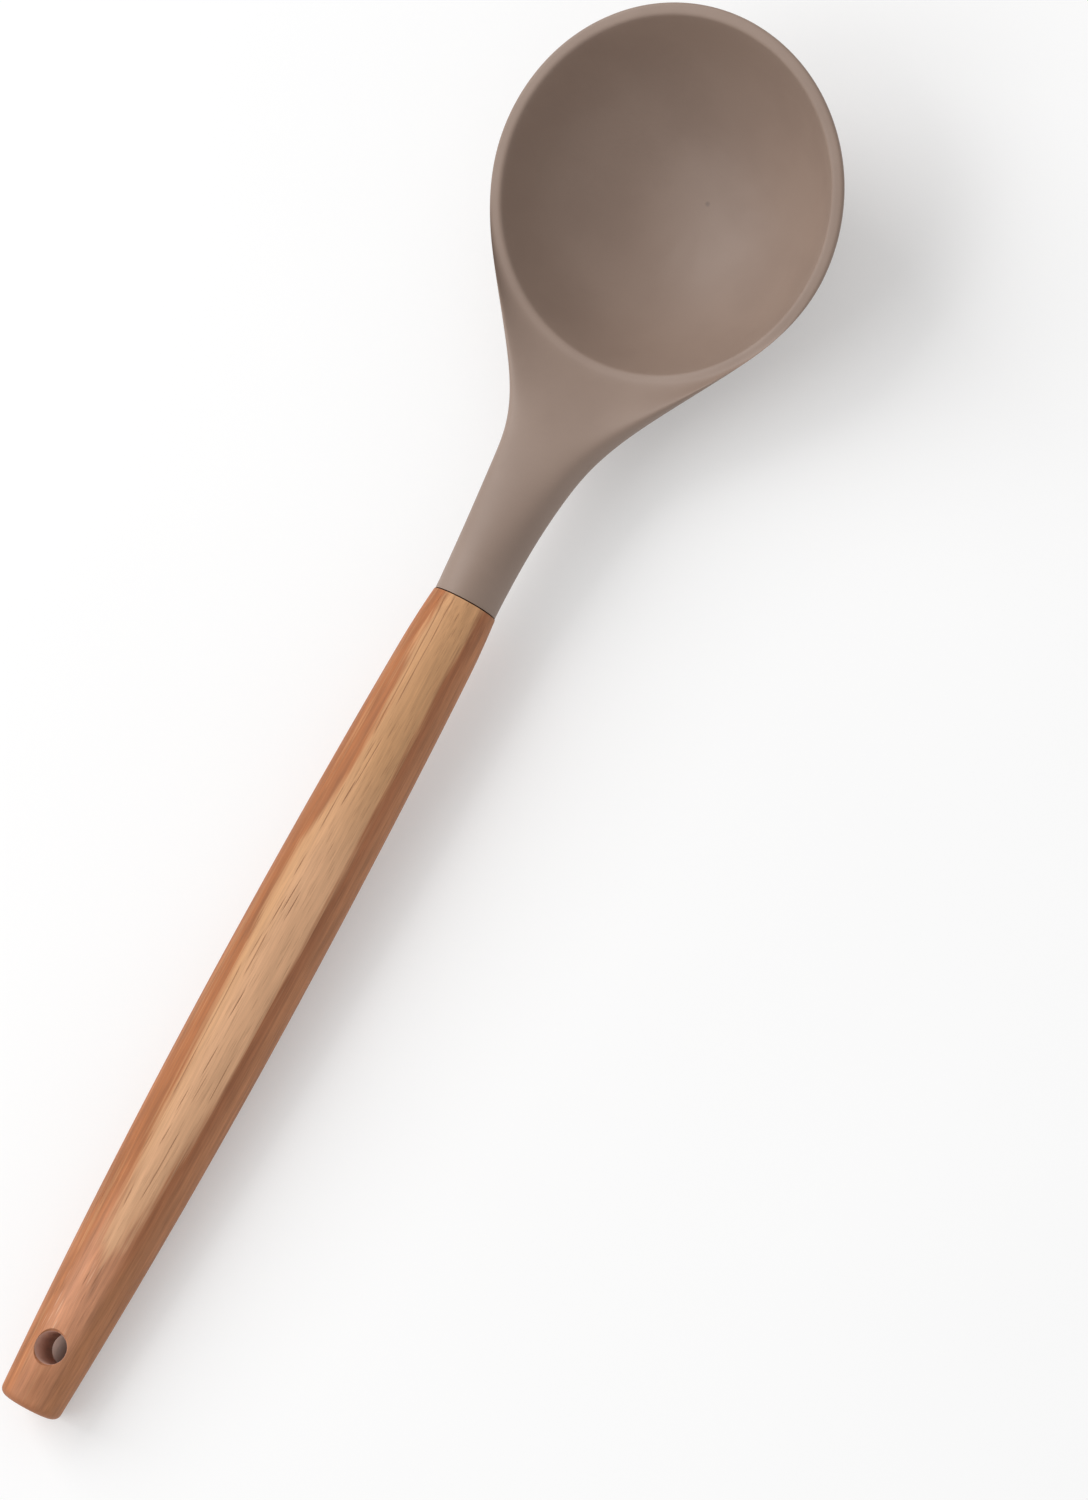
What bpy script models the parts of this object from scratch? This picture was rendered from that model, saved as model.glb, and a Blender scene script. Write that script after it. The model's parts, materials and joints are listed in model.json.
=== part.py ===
"""Soup ladle: a silicone bowl and neck moulded over a stiff core, glued into a turned wooden handle.

Metres, +Z up. The ladle lies as it rests on a table: underside of the bowl and edge of the butt on z = 0,
handle along -Y, bowl towards +Y, origin under the middle of its bounding box.
"""
import math

import bmesh
import bpy
import numpy as np
from mathutils import Vector

MM = 0.001

# Bowl, measured in the plane of its lip
MOUTH_R = 40.0 * MM            # inner edge of the lip
BOWL_DEPTH = 26.5 * MM         # lip down to the inside bottom
LIP_WIDTH = 2.95 * MM          # flat of the lip, inner edge to outer edge
FLOOR_WALL = 3.1 * MM          # wall under the middle of the bowl
LIP_CORNER = 0.9 * MM          # height over which the lip rounds into the walls
LIP_RISE = 0.05 * MM           # outer edge of the lip over its inner edge

# Bowl on the handle: middle of the mouth from the middle of the joint
MOUTH_AHEAD = 100.0 * MM       # along the handle's line
MOUTH_ABOVE = 12.2 * MM        # above the handle's line
BOWL_TILT = math.radians(18.8)   # lip plane against the handle's line, mouth leaning to the hand

# Neck
NECK_R = 7.5 * MM              # round end that meets the wood
NECK_FLARE = 7.4 * MM          # widening towards the bowl
NECK_FLARE_POWER = 2.2
NECK_ROOT_H = 4.6 * MM         # half height where the neck runs into the bowl
NECK_ROOT_POWER = 1.5
NECK_ARCH = 2.0 * MM           # rise of the neck over the handle's line
NECK_DROP = 5.5 * MM           # how far it sinks under that line at the bowl
NECK_DROP_POWER = 3
NECK_SQUARE = 3.0              # how far the neck's top flattens towards the bowl
ROOT_LIFT = 0.9 * MM           # keeps the wall full beside the neck
NECK_STEPS = (0.80, 0.54, 0.27, 0.05)   # cage rings of the neck, bowl to joint

# Cage rings of the bowl, as shares of the way from its bottom to the lip
INNER_RINGS = (0.34, 0.70)
OUTER_RINGS = (0.36, 0.74, 0.955)

# Core under the skin
SKIN = 0.6 * MM                # silicone over the bowl web, each side
NECK_SKIN = 1.5 * MM           # silicone round the neck spine
FIT = 0.3 * MM                 # clearance between core, skin, glue and wood
WEB_DROP = 6.0 * MM            # edge of the web below the lip
SPINE_LAP = 1.5 * MM           # spine runs into the web below its edge
SPINE_ROOT_W = 12.0 * MM       # half width of the spine's flat end in the web
SPINE_ROOT_H = 0.6 * MM        # half height of that end
ROOT_ROOM_W = 5.0              # room round that end across, in clearances
ROOT_ROOM_H = 1.5              # and above and below it
SPINE_STEPS = (0.0, 0.2, 0.4, 0.6, 0.8)   # sections of the spine that follow the neck
TANG_R = 3.8 * MM
TANG_LENGTH = 37.0 * MM
TANG_ROOT = 10.0 * MM          # part of the tang's bar that runs inside the neck spine
GROOVE_DEPTH = 0.5 * MM
GROOVE_WIDTH = 2.4 * MM
GROOVES = 3

# Glue sleeve
GLUE_WALL = 0.5 * MM

# Wooden handle
HANDLE_LENGTH = 200.5 * MM
JOINT_GAP = 0.3 * MM           # glue line between silicone and wood
JOINT_R = 7.65 * MM            # wood at the joint
SHOULDER_ROLL = 0.5 * MM       # extra narrowing just behind the joint
SHOULDER_LENGTH = 15.0 * MM
BELLY_R = 10.0 * MM            # thickest place
BELLY_AT = 0.475               # its distance from the joint, as a share of the length
BUTT_R = 7.1 * MM              # before the edge is rounded
BUTT_ROUND = 1.8 * MM          # edge radius at the butt
SOCKET_FLOOR_GAP = 1.0 * MM    # room for glue under the tang
HANDLE_ROWS = 18
ROW_CROWDING = 0.35            # rows stand closer at the two ends

# Hanging hole, drilled through the handle
HOLE_R = 3.6 * MM
HOLE_FROM_BUTT = 14.1 * MM
HOLE_TURN = math.radians(8.0)   # turned about the handle's line against the bowl's middle plane
HOLE_MOUTH = 0.25 * MM         # eased edge
HOLE_FLARE = 0.5               # slope of that edge

SEGMENTS = 12                  # cage segments round the bowl and round the neck
SUBDIVISIONS = 2
TURNED_STEPS = 32
BOWL_STEPS = 48
CAP_ROWS = 8
SPINE_SIDES = 20

# Derived sizes
LIP_R = MOUTH_R + LIP_WIDTH
INNER_SPHERE = (MOUTH_R ** 2 + BOWL_DEPTH ** 2) / (2 * BOWL_DEPTH)
INNER_CENTRE = INNER_SPHERE - BOWL_DEPTH
OUTER_DEPTH = BOWL_DEPTH + FLOOR_WALL
OUTER_SPHERE = (LIP_R ** 2 + OUTER_DEPTH ** 2) / (2 * OUTER_DEPTH)
OUTER_CENTRE = OUTER_SPHERE - OUTER_DEPTH
NECK_LENGTH = MOUTH_AHEAD - LIP_R * math.cos(BOWL_TILT)
CORE_INSET = SKIN + FIT
NECK_INSET = NECK_SKIN + FIT
GLUE_INNER_R = TANG_R + FIT
GLUE_OUTER_R = GLUE_INNER_R + GLUE_WALL
SOCKET_R = GLUE_OUTER_R + FIT
SOCKET_DEPTH = TANG_LENGTH + SOCKET_FLOOR_GAP

# A smooth ring through n cage points lies inside them by this factor
RING_GAIN = 3 / (2 + math.cos(2 * math.pi / SEGMENTS))


def clear_scene():
    for item in list(bpy.data.objects):
        bpy.data.objects.remove(item, do_unlink=True)


def new_collection(name):
    group = bpy.data.collections.new(name)
    bpy.context.scene.collection.children.link(group)
    return group


def new_material(name, colour, roughness):
    material = bpy.data.materials.new(name)
    material.use_nodes = True
    shader = material.node_tree.nodes["Principled BSDF"]
    shader.inputs["Base Color"].default_value = (*colour, 1.0)
    shader.inputs["Roughness"].default_value = roughness
    shader.inputs["Metallic"].default_value = 0.0
    material.diffuse_color = (*colour, 1.0)
    return material


def add_object(name, mesh, group, parent, material=None):
    item = bpy.data.objects.new(name, mesh)
    group.objects.link(item)
    item.parent = parent
    if material:
        mesh.materials.append(material)
    return item


def make_cutter(item):
    item.hide_render = True
    item.display_type = "WIRE"
    return item


def lip_to_handle(x, v, w):
    """Point given across, along and above the lip plane, turned into the handle's frame."""
    y = MOUTH_AHEAD + v * math.cos(BOWL_TILT) - w * math.sin(BOWL_TILT)
    z = MOUTH_ABOVE + v * math.sin(BOWL_TILT) + w * math.cos(BOWL_TILT)
    return Vector((x, y, z))


def sphere_point(radius, centre, angle):
    """Distance from the bowl's axis and height over the lip at an angle from the bottom."""
    return (radius * math.sin(angle), centre - radius * math.cos(angle))


def sphere_cage(radius, centre, top, shares):
    """Cage points of a cap from its bottom up, each moved out by what smoothing takes from it."""
    angles = [0.0] + [top * share for share in shares] + [top]
    points = []
    for i in range(len(angles) - 1):
        step = (angles[i + 1] - angles[max(i - 1, 0)]) / 2 if i else angles[1]
        gain = 3 / (2 + math.cos(step))
        points.append(sphere_point(radius * gain, centre, angles[i]))
    return points


def bowl_profile():
    """Cage profile from the inside bottom over the lip to the outside bottom, and its outer lip ring."""
    inner_top = math.acos(INNER_CENTRE / INNER_SPHERE)
    outer_top = math.acos((OUTER_CENTRE - LIP_RISE) / OUTER_SPHERE)
    points = sphere_cage(INNER_SPHERE, INNER_CENTRE, inner_top, INNER_RINGS)
    points.append(sphere_point(INNER_SPHERE, INNER_CENTRE, inner_top - LIP_CORNER / INNER_SPHERE))
    points.append(sphere_point(INNER_SPHERE, INNER_CENTRE, inner_top))
    lip_ring = len(points) - 1
    points.append(sphere_point(OUTER_SPHERE, OUTER_CENTRE, outer_top))
    points += reversed(sphere_cage(OUTER_SPHERE, OUTER_CENTRE, outer_top, OUTER_RINGS))
    return points, lip_ring


def neck_section(share, skin):
    """Half width, half height and middle height of the neck at a share of its length."""
    half_width = NECK_R + NECK_FLARE * share ** NECK_FLARE_POWER - skin
    half_height = NECK_R + (NECK_ROOT_H - NECK_R) * share ** NECK_ROOT_POWER - skin
    middle = NECK_ARCH * math.sin(math.pi * share) - NECK_DROP * share ** NECK_DROP_POWER
    return half_width, half_height, middle


def flat_topped(angle, square):
    """Place on a round section whose upper half is squared up."""
    across = math.sin(angle)
    up = math.cos(angle)
    if up <= 0:
        return across, up
    power = 2 / (2 + square)
    return math.copysign(abs(across) ** power, across), up ** power


def head_mesh(name, profile, lip_ring):
    """Closed cage of bowl and neck: two rows of faces under the lip open at the back into the neck."""
    bm = bmesh.new()
    crease = bm.edges.layers.float.new("crease_edge")
    turn = [2 * math.pi * j / SEGMENTS for j in range(SEGMENTS)]
    rings = []
    for radius, height in profile[1:-1]:
        wide = radius * RING_GAIN
        places = [lip_to_handle(wide * math.sin(a), -wide * math.cos(a), height) for a in turn]
        rings.append([bm.verts.new(place) for place in places])
    inside = bm.verts.new(lip_to_handle(0.0, 0.0, profile[0][1]))
    outside = bm.verts.new(lip_to_handle(0.0, 0.0, profile[-1][1]))
    back = (SEGMENTS - 2, SEGMENTS - 1, 0, 1)
    for k in range(len(rings) - 1):
        for j in range(SEGMENTS):
            if k in (lip_ring, lip_ring + 1) and j in back:
                continue
            n = (j + 1) % SEGMENTS
            bm.faces.new((rings[k][j], rings[k][n], rings[k + 1][n], rings[k + 1][j]))
    for j in range(SEGMENTS):
        n = (j + 1) % SEGMENTS
        bm.faces.new((inside, rings[0][n], rings[0][j]))
        bm.faces.new((outside, rings[-1][j], rings[-1][n]))
    top, side, under = rings[lip_ring:lip_ring + 3]
    middle = lip_to_handle(0.0, 0.0, OUTER_CENTRE)
    for corner in (side[2], side[-2], under[2], under[-2]):
        corner.co += (corner.co - middle).normalized() * ROOT_LIFT
    loop = [top[j] for j in (-2, -1, 0, 1, 2)] + [side[2]]
    loop += [under[j] for j in (2, 1, 0, -1, -2)] + [side[-2]]
    angles = [2 * math.pi * (i - 2) / SEGMENTS for i in range(SEGMENTS)]
    for share in (*NECK_STEPS, 0.0):
        half_width, half_height, middle = neck_section(share, 0.0)
        y = share * NECK_LENGTH
        ring = []
        for a in angles:
            across, up = flat_topped(a, NECK_SQUARE * share ** 2)
            across *= half_width * RING_GAIN
            up *= half_height * RING_GAIN
            ring.append(bm.verts.new((across, y, middle + up)))
        for i in range(SEGMENTS):
            n = (i + 1) % SEGMENTS
            bm.faces.new((loop[i], loop[n], ring[n], ring[i]))
            if not share:
                bm.edges.get((ring[i], ring[n]))[crease] = 1.0
        loop = ring
    bm.faces.new(loop)
    bmesh.ops.recalc_face_normals(bm, faces=bm.faces[:])
    mesh = bpy.data.meshes.new(name)
    bm.to_mesh(mesh)
    bm.free()
    return mesh


def subdivide(item):
    smooth = item.modifiers.new("Soft form", "SUBSURF")
    smooth.levels = SUBDIVISIONS
    smooth.render_levels = SUBDIVISIONS


def combine(item, other, operation):
    cut = item.modifiers.new(other.name, "BOOLEAN")
    cut.operation = operation
    cut.solver = "EXACT"
    cut.object = other


def turned(name, points, group, parent, material=None, closed=False, steps=TURNED_STEPS):
    """Profile of radius and height, turned about its own Z."""
    mesh = bpy.data.meshes.new(name)
    edges = [(i, i + 1) for i in range(len(points) - 1)]
    if closed:
        edges.append((len(points) - 1, 0))
    mesh.from_pydata([(radius, 0.0, height) for radius, height in points], edges, [])
    item = add_object(name, mesh, group, parent, material)
    lathe = item.modifiers.new("Turned", "SCREW")
    lathe.axis = "Z"
    lathe.angle = 2 * math.pi
    lathe.steps = steps
    lathe.render_steps = steps
    lathe.use_merge_vertices = True
    lathe.merge_threshold = 0.00001
    return item


def along_handle(item, spin=0.0):
    """Lay a turned piece down so that its Z runs along the handle towards the bowl, spun about that line."""
    item.rotation_mode = "ZYX"
    item.rotation_euler = (-math.pi / 2, 0.0, spin)
    return item


def in_bowl(item, spin=0.0):
    """Set a turned piece on the bowl's axis, its Z square to the lip, spun about that axis."""
    item.location = (0.0, MOUTH_AHEAD, MOUTH_ABOVE)
    item.rotation_mode = "ZYX"
    item.rotation_euler = (BOWL_TILT, 0.0, spin)
    return item


def cap_points(radius, centre, top):
    """Solid cap of a sphere below a height over the lip."""
    limit = math.acos((centre - top) / radius)
    points = [(0.0, top)]
    for i in range(CAP_ROWS):
        points.append(sphere_point(radius, centre, limit * (1 - i / CAP_ROWS)))
    points.append((0.0, centre - radius))
    return points


def spine_mesh(name, grow, past_joint=0.0):
    """Bar through the neck whose flat end follows the back of the web."""
    turn = [2 * math.pi * i / SPINE_SIDES for i in range(SPINE_SIDES)]
    shares = [(share * NECK_LENGTH, share) for share in SPINE_STEPS]
    if past_joint:
        shares.insert(0, (-past_joint, 0.0))
    sections = []
    for y, share in shares:
        half_width, half_height, middle = neck_section(share, NECK_INSET - grow)
        sections.append([(half_width * math.sin(a), y, middle + half_height * math.cos(a)) for a in turn])
    depth = WEB_DROP + SPINE_LAP
    inner_r = math.sqrt(INNER_SPHERE ** 2 - (INNER_CENTRE + depth) ** 2)
    outer_r = math.sqrt(OUTER_SPHERE ** 2 - (OUTER_CENTRE + depth) ** 2)
    wall_r = (inner_r + outer_r) / 2
    end = []
    for a in turn:
        across = (SPINE_ROOT_W + ROOT_ROOM_W * grow) * math.sin(a)
        place = lip_to_handle(across, -math.sqrt(wall_r ** 2 - across ** 2), -depth)
        up = (SPINE_ROOT_H + ROOT_ROOM_H * grow) * math.cos(a)
        end.append(place + Vector((0.0, grow, up)))
    sections.append(end)
    bm = bmesh.new()
    loops = [[bm.verts.new(place) for place in section] for section in sections]
    for near, far in zip(loops, loops[1:]):
        for i in range(SPINE_SIDES):
            n = (i + 1) % SPINE_SIDES
            bm.faces.new((near[i], near[n], far[n], far[i]))
    bm.faces.new(loops[0])
    bm.faces.new(loops[-1])
    bmesh.ops.recalc_face_normals(bm, faces=bm.faces[:])
    mesh = bpy.data.meshes.new(name)
    bm.to_mesh(mesh)
    bm.free()
    return mesh


def core_form(name, grow, group, cutters, frame, material=None, past_joint=0.0):
    """Bowl web with the neck spine: a cap and the spine, hollowed by a ball."""
    cap = cap_points(OUTER_SPHERE - CORE_INSET + grow, OUTER_CENTRE, grow - WEB_DROP)
    web = in_bowl(turned(name, cap, group, frame, material, steps=BOWL_STEPS))
    spine = add_object(name + "_spine", spine_mesh(name + "_spine", grow, past_joint), cutters, frame)
    combine(web, make_cutter(spine), "UNION")
    hollow = cap_points(INNER_SPHERE + CORE_INSET - grow, INNER_CENTRE, LIP_WIDTH)
    half_step = math.pi / BOWL_STEPS
    ball = in_bowl(turned(name + "_hollow", hollow, cutters, frame, steps=BOWL_STEPS), half_step)
    combine(web, make_cutter(ball), "DIFFERENCE")
    return web


def handle_radius(distance):
    """Barrel of the handle at a distance behind the joint."""
    belly = BELLY_AT * HANDLE_LENGTH
    if distance > belly:
        share = (distance - belly) / (HANDLE_LENGTH - belly)
        return BELLY_R - (BELLY_R - BUTT_R) * share ** 2
    share = (belly - distance) / belly
    radius = BELLY_R - (BELLY_R - JOINT_R - SHOULDER_ROLL) * share ** 2
    roll = max(0.0, 1 - distance / SHOULDER_LENGTH)
    return radius - SHOULDER_ROLL * roll ** 2


def handle_points():
    """Socket wall, end face, barrel from joint to butt, rounded edge and flat butt."""
    points = [(0.0, -SOCKET_DEPTH), (SOCKET_R, -SOCKET_DEPTH), (SOCKET_R, -JOINT_GAP)]
    barrel_end = HANDLE_LENGTH - BUTT_ROUND
    for i in range(HANDLE_ROWS + 1):
        share = i / HANDLE_ROWS
        share += ROW_CROWDING * share * (share - 1) * (1 - 2 * share)
        distance = JOINT_GAP + (barrel_end - JOINT_GAP) * share
        points.append((handle_radius(distance), -distance))
    edge = handle_radius(barrel_end) - BUTT_ROUND
    for angle in (30, 60, 90):
        a = math.radians(angle)
        points.append((edge + BUTT_ROUND * math.cos(a), -barrel_end - BUTT_ROUND * math.sin(a)))
    points.append((0.0, -HANDLE_LENGTH))
    return points


def tang_points():
    """Bar with turned grooves that key into the glue."""
    points = [(0.0, TANG_ROOT), (TANG_R, TANG_ROOT)]
    pitch = TANG_LENGTH / (GROOVES + 1)
    for i in range(GROOVES):
        middle = -pitch * (i + 1)
        points.append((TANG_R, middle + GROOVE_WIDTH / 2))
        points.append((TANG_R - GROOVE_DEPTH, middle + GROOVE_WIDTH / 2 - GROOVE_DEPTH))
        points.append((TANG_R - GROOVE_DEPTH, middle - GROOVE_WIDTH / 2 + GROOVE_DEPTH))
        points.append((TANG_R, middle - GROOVE_WIDTH / 2))
    points.append((TANG_R, -TANG_LENGTH + GROOVE_DEPTH))
    points.append((TANG_R - GROOVE_DEPTH, -TANG_LENGTH))
    points.append((0.0, -TANG_LENGTH))
    return points


def glue_points():
    """Sleeve between the tang and the socket."""
    top = -JOINT_GAP - FIT
    outside = [(GLUE_OUTER_R, top), (GLUE_OUTER_R, -TANG_LENGTH)]
    return [*outside, (GLUE_INNER_R, -TANG_LENGTH), (GLUE_INNER_R, top)]


def hole_points():
    """Drill with flared ends that ease both mouths of the hole."""
    surface = handle_radius(HANDLE_LENGTH - HOLE_FROM_BUTT)
    inner_mouth = math.sqrt(surface ** 2 - HOLE_R ** 2) - HOLE_MOUTH
    reach = 2 * surface - inner_mouth
    flare = HOLE_R + (reach - inner_mouth) * HOLE_FLARE
    half = [(flare, reach), (HOLE_R, inner_mouth)]
    return [(0.0, reach), *half, *[(r, -z) for r, z in reversed(half)], (0.0, -reach)]


def solid_points(items):
    """World places of the finished solids' corners."""
    bpy.context.view_layer.update()
    graph = bpy.context.evaluated_depsgraph_get()
    places = []
    for item in items:
        shown = item.evaluated_get(graph)
        mesh = shown.to_mesh()
        flat = np.empty(len(mesh.vertices) * 3)
        mesh.vertices.foreach_get("co", flat)
        matrix = np.array(shown.matrix_world)
        places.append(flat.reshape(-1, 3) @ matrix[:3, :3].T + matrix[:3, 3])
        shown.to_mesh_clear()
    return places


def lay_down(frame, head, handle):
    """Turn the ladle about X until bowl and handle touch one level, then put the origin under its middle."""
    bowl, wood = solid_points([head, handle])
    low, high = -0.3, 0.3
    for _ in range(60):
        tilt = (low + high) / 2
        bowl_low = (bowl[:, 1] * math.sin(tilt) + bowl[:, 2] * math.cos(tilt)).min()
        wood_low = (wood[:, 1] * math.sin(tilt) + wood[:, 2] * math.cos(tilt)).min()
        if wood_low > bowl_low:
            low = tilt
        else:
            high = tilt
    frame.rotation_euler = (tilt, 0.0, 0.0)
    everything = np.vstack(solid_points([head, handle]))
    lowest = everything.min(axis=0)
    highest = everything.max(axis=0)
    frame.location = (0.0, -(lowest[1] + highest[1]) / 2, -lowest[2])


def build():
    clear_scene()
    parts = new_collection("soup_ladle")
    cutters = new_collection("cutters")
    frame = bpy.data.objects.new("ladle_frame", None)
    parts.objects.link(frame)

    silicone = new_material("taupe_silicone", (0.30, 0.24, 0.19), 0.55)
    nylon = new_material("core_nylon", (0.05, 0.05, 0.05), 0.5)
    wood = new_material("oiled_wood", (0.55, 0.31, 0.16), 0.5)
    resin = new_material("cured_glue", (0.75, 0.68, 0.5), 0.35)

    room = make_cutter(core_form("core_room", FIT, cutters, cutters, frame, past_joint=TANG_ROOT))

    skin = head_mesh("silicone_head", *bowl_profile())
    head = add_object("silicone_head", skin, parts, frame, silicone)
    subdivide(head)
    combine(head, room, "DIFFERENCE")

    core = core_form("core_insert", 0.0, parts, cutters, frame, nylon)
    tang = make_cutter(along_handle(turned("tang_bar", tang_points(), cutters, frame)))
    combine(core, tang, "UNION")

    along_handle(turned("socket_glue", glue_points(), parts, frame, resin, closed=True))

    flat_down = math.pi / TURNED_STEPS
    handle = along_handle(turned("wood_handle", handle_points(), parts, frame, wood), flat_down)
    drill = make_cutter(turned("hanging_hole", hole_points(), cutters, frame))
    drill.location = (0.0, HOLE_FROM_BUTT - HANDLE_LENGTH, 0.0)
    drill.rotation_euler = (0.0, HOLE_TURN, 0.0)
    combine(handle, drill, "DIFFERENCE")

    lay_down(frame, head, handle)


build()
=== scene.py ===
"""Soup ladle: silicone bowl and neck on a turned wooden handle, laid on a pale table."""
import json
import math

import bmesh
import bpy
from bpy.props import FloatProperty, FloatVectorProperty, IntProperty, PointerProperty
from mathutils import Matrix, Quaternion, Vector


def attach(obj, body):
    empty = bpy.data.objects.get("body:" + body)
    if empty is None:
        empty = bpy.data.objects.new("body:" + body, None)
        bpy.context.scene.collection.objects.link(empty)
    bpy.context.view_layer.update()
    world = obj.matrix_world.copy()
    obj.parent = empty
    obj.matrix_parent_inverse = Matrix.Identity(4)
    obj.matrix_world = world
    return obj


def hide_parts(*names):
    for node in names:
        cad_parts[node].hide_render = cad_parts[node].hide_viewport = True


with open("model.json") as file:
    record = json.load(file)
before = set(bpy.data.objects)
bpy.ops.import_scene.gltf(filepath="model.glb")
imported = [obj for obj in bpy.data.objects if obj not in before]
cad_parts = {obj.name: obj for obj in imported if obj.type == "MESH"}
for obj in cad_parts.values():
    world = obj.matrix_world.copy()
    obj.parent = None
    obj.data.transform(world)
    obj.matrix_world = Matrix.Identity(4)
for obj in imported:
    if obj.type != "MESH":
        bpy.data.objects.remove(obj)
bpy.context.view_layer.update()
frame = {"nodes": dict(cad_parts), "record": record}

bl_info = {
    "name": "Soup Ladle",
    "version": (1, 0, 0),
    "blender": (4, 5, 0),
    "location": "3D View > Sidebar > Ladle",
    "description": "Builds a silicone soup ladle with a wooden handle, and a table to show it on",
    "category": "Add Mesh",
}

MOUNTS = {mount["name"]: mount for mount in frame["record"]["mounts"]}
BUTT = MOUNTS["handle_butt"]
HOLE = MOUNTS["hanging_hole"]
MM = 0.001
WHITE = (1.0, 1.0, 1.0)

# Cage of the head: columns round the bowl, and those at its back that open into the neck
COLUMNS = 12
BACK = (COLUMNS - 2, COLUMNS - 1, 0, 1)

# Rings of that cage: shares of the way up inside and outside the bowl, and of the way along the neck
INNER_RINGS = (0.34, 0.70)
OUTER_RINGS = (0.36, 0.74, 0.955)
NECK_RINGS = (0.80, 0.54, 0.27, 0.05, 0.0)

# Powers of the share along the neck by which it widens, thins, sinks and flattens
WIDEN_POWER = 2.2
THIN_POWER = 1.5
SINK_POWER = 3
FLATTEN_POWER = 2

# Columns at the lip's back with the share of the lift that each takes, and the inner ring's share of it
LIFTED = ((-2, 0.1), (-1, 1.0), (0, 1.0), (1, 1.0), (2, 0.1))
LIFTED_INSIDE = 0.28

# Rows of the turned handle: steps along it, fine ones near the hole, then the butt's rounded edge and face
ROW_STEP = 2.0 * MM
FINE_STEP = 0.5 * MM
FINE_REACH = 6.5 * MM
CLEAR_OF_EDGE = 0.3 * MM
EDGE_STEPS = 10
BUTT_RINGS = (0.75, 0.5, 0.25, 0.0)

# Hanging hole: how far the drill flares for its height, and the angle from which an edge stays sharp
DRILL_FLARE = 0.5
SHARP_FROM = math.radians(28.0)

# Gate mark in the bowl, ahead of its middle
GATE_AHEAD = 0.3 * MM

# Wood, in mm. Places along the handle count back from the joint, so they are negative. Places across run
# from the warm edge, below 0, to the brown edge, above 0. Heights are over the handle's line.
FACE_TURN = math.radians(15.0)
GRAIN_TURN = math.radians(1.5)
PALE_FROM = 8.5
PALE_UNDER = 8.3

# Where the pale layer starts to widen, to flare at the joint and to run to its point, each with its slope
PALE_WIDENS = (-146.0, 0.0085)
PALE_FLARES = (-18.0, 0.08)
PALE_POINT = (-160.0, 0.13)

# Warm wood that bites into the pale layer from its edge: middle along the handle, half length, depth
WARM_BITES = ((-40.0, 24.0, 1.8), (-128.0, 46.0, 0.9))

# Fine dark lines in the pale layer: start and end along the handle, place across it at both
HAIRLINES = (
    (-126.0, -94.0, -3.5, -4.1),
    (-96.0, -85.0, -2.2, -2.2),
    (-36.0, 0.0, -2.6, -3.6),
    (-28.0, 0.0, -1.35, -1.5),
    (-124.0, -113.0, 4.2, 4.2),
    (-149.0, -132.0, 1.45, 1.85),
    (-152.5, -147.0, -1.35, -1.5),
    (-137.0, -131.5, -0.75, -0.45),
    (-60.0, -48.5, -3.0, -2.9),
    (-48.5, -36.0, -0.9, -0.5),
)

# Table, in mm: a painted soft shade beside the foot of the hole, drawn out along the handle, and where white
# starts
SHADE_ASIDE = 1.8
SHADE_SQUEEZE = 0.28
SHADE_EDGE = (2.4, 3.9)
FAR_TABLE = (350.0, 1000.0)

# Stage, in metres, and the camera's sensor, in mm
TABLE_HALF = 4.0
TABLE_SQUARES = 8
LAMP_AIM = Vector((0.0, 0.0, 0.02))
NEAREST_SEEN = 0.01
SENSOR_HEIGHT = 36.0

# Sockets of a Mix node that mixes colours
MIX_FACTOR = 0
MIX_FIRST = 6
MIX_SECOND = 7
MIX_RESULT = 2


# Sizes and colours


def length(name, text, millimetres):
    return FloatProperty(name=name, description=text, default=millimetres * MM, unit="LENGTH", precision=4)


def share(name, text, value):
    return FloatProperty(name=name, description=text, default=value, subtype="FACTOR")


def tint(name, text, red, green, blue):
    return FloatVectorProperty(name=name, description=text, default=(red, green, blue), subtype="COLOR",
                               min=0.0, max=1.0)


def spot_in_room(name, text, x, y, z):
    return FloatVectorProperty(name=name, description=text, default=(x, y, z), subtype="TRANSLATION",
                               unit="LENGTH")


class LadleHeadSizes(bpy.types.PropertyGroup):
    """Bowl and neck, measured from the middle of the joint"""
    mouth: length("Mouth radius", "Inner edge of the lip", 39.8)
    depth: length("Bowl depth", "Lip down to the inside bottom", 26.5)
    lip_width: length("Lip width", "From the inner edge of the lip to its outer edge", 3.2)
    floor_wall: length("Floor wall", "Wall under the middle of the bowl", 3.1)
    lip_corner: length("Lip corner", "Height over which the lip rounds into the inner wall", 1.5)
    lip_round: length("Lip round", "Width over which the lip rounds into the inner wall", 1.5)
    lip_rise: length("Lip rise", "Outer edge of the lip over its inner edge", -0.15)
    ahead: length("Mouth ahead", "Middle of the mouth along the handle's line", 100.0)
    above: length("Mouth above", "Middle of the mouth above the handle's line", 12.2)
    tilt: FloatProperty(name="Bowl tilt", description="Lip plane against the handle's line",
                        default=math.radians(18.8), subtype="ANGLE")
    neck: length("Neck radius", "Round end that meets the wood", 7.5)
    flare: length("Neck flare", "Widening towards the bowl", 7.4)
    root: length("Neck root", "Half height where the neck runs into the bowl", 4.6)
    arch: length("Neck arch", "Rise of the neck over the handle's line", 2.0)
    drop: length("Neck drop", "How far the neck sinks at the bowl", 5.5)
    square: FloatProperty(name="Neck flatness", description="How far the neck's top flattens at the bowl",
                          default=4.2, min=0.0)
    root_lift: length("Root lift", "Keeps the wall full beside the neck", 0.3)
    ledge: length("Root ledge", "How far the wall beside the neck rises towards the lip", 1.3)
    back_lift: length("Back lift", "How far the outer edge of the lip rises into the neck", 1.4)
    smoothing: IntProperty(name="Smoothing", description="Subdivision levels", default=4, min=1, max=5)


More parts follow.
